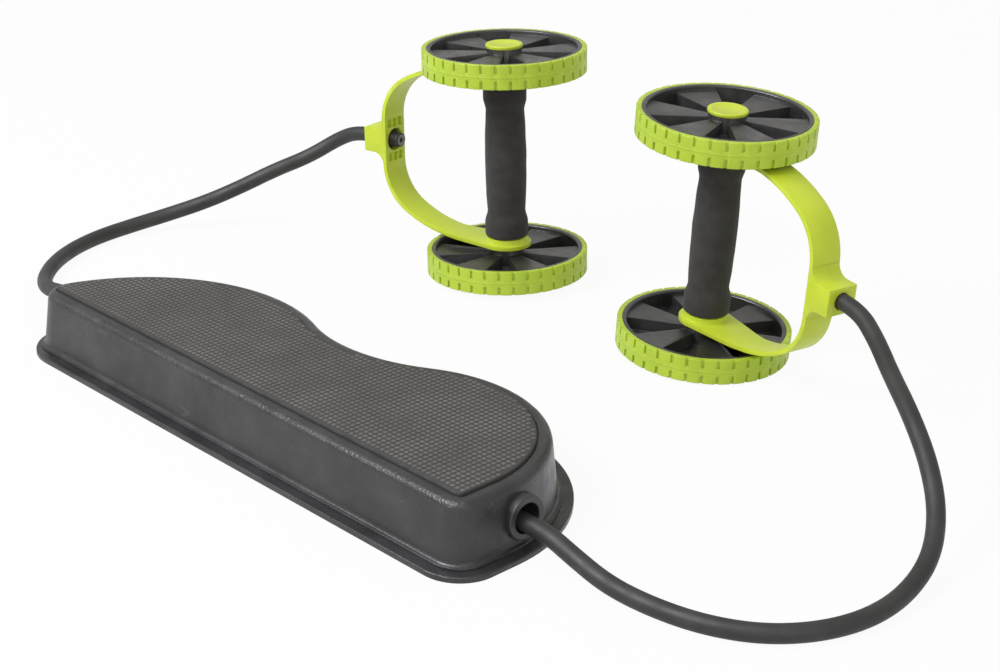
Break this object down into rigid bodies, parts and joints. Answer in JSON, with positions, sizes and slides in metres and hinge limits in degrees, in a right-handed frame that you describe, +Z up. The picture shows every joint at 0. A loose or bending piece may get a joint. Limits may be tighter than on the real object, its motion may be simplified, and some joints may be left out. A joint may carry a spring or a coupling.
{
  "type": "ab wheel roller",
  "caption": "Kidney-shaped foot platform with a resistance tube through it and wheeled foam-grip roller handles held at the tube's ends by bent yokes, for core and floor exercise.",
  "frame": {"origin": "middle of the platform's underside, on the floor, below the middle of the foot pad", "axes": "+X along the platform, +Y from its straight front towards the rollers, +Z up"},
  "size_m": [0.7513, 0.4087, 0.176],
  "materials": {
    "shell": "fine grain",
    "pad": "small raised tabs, matte",
    "bush": "smooth",
    "tube": "soft sheen",
    "steel": "plain",
    "core": "smooth",
    "foam": "closed-cell foam, matte",
    "yoke": "satin moulding",
    "plug": "smooth",
    "washer": "smooth",
    "wheel": "fine grain",
    "tyre": "matte",
    "cap": "satin moulding"
  },
  "bodies": {
    "platform": {"platform_shell": "shell", "foot_pad": "pad", "left_tube_bush": "bush", "right_tube_bush": "bush", "inner_tube": "tube", "left_tube": "tube", "right_tube": "tube"},
    "left_yoke": {"left_yoke": "yoke", "left_tube_end": "tube", "left_tube_plug": "plug"},
    "left_handle": {"left_axle": "steel", "left_grip_core": "core", "left_foam_grip": "foam", "left_thrust_washers": "washer", "left_end_washers": "steel", "left_end_screws": "steel"},
    "left_upper_roller": {"left_upper_wheel": "wheel", "left_upper_tyre": "tyre", "left_upper_cap": "cap", "left_upper_bearing": "washer"},
    "left_lower_roller": {"left_lower_wheel": "wheel", "left_lower_tyre": "tyre", "left_lower_cap": "cap", "left_lower_bearing": "washer"},
    "right_yoke": {"right_yoke": "yoke", "right_tube_end": "tube", "right_tube_plug": "plug"},
    "right_handle": {"right_axle": "steel", "right_grip_core": "core", "right_foam_grip": "foam", "right_thrust_washers": "washer", "right_end_washers": "steel", "right_end_screws": "steel"},
    "right_upper_roller": {"right_upper_wheel": "wheel", "right_upper_tyre": "tyre", "right_upper_cap": "cap", "right_upper_bearing": "washer"},
    "right_lower_roller": {"right_lower_wheel": "wheel", "right_lower_tyre": "tyre", "right_lower_cap": "cap", "right_lower_bearing": "washer"}
  },
  "joints": [
    {"name": "left_pull", "type": "slide", "parent": "platform", "child": "left_yoke", "axis": [0, 1, 0], "range_m": [0, 0.45], "stiffness_N_per_m": 60, "deforming": ["left_tube"]},
    {"name": "left_yoke_swing", "type": "hinge", "parent": "left_yoke", "child": "left_handle", "pos_m": [-0.1005, 0.275, 0.08802], "axis": [-0.0523, 0, 0.9986], "continuous": true},
    {"name": "left_upper_spin", "type": "hinge", "parent": "left_handle", "child": "left_upper_roller", "pos_m": [-0.1005, 0.275, 0.08802], "axis": [-0.0523, 0, 0.9986], "continuous": true},
    {"name": "left_lower_spin", "type": "hinge", "parent": "left_handle", "child": "left_lower_roller", "pos_m": [-0.1005, 0.275, 0.08802], "axis": [-0.0523, 0, 0.9986], "continuous": true},
    {"name": "right_pull", "type": "slide", "parent": "platform", "child": "right_yoke", "axis": [0, 1, 0], "range_m": [0, 0.45], "stiffness_N_per_m": 60, "deforming": ["right_tube"]},
    {"name": "right_yoke_swing", "type": "hinge", "parent": "right_yoke", "child": "right_handle", "pos_m": [0.1005, 0.275, 0.08802], "axis": [0.0523, 0, 0.9986], "continuous": true},
    {"name": "right_upper_spin", "type": "hinge", "parent": "right_handle", "child": "right_upper_roller", "pos_m": [0.1005, 0.275, 0.08802], "axis": [0.0523, 0, 0.9986], "continuous": true},
    {"name": "right_lower_spin", "type": "hinge", "parent": "right_handle", "child": "right_lower_roller", "pos_m": [0.1005, 0.275, 0.08802], "axis": [0.0523, 0, 0.9986], "continuous": true}
  ]
}
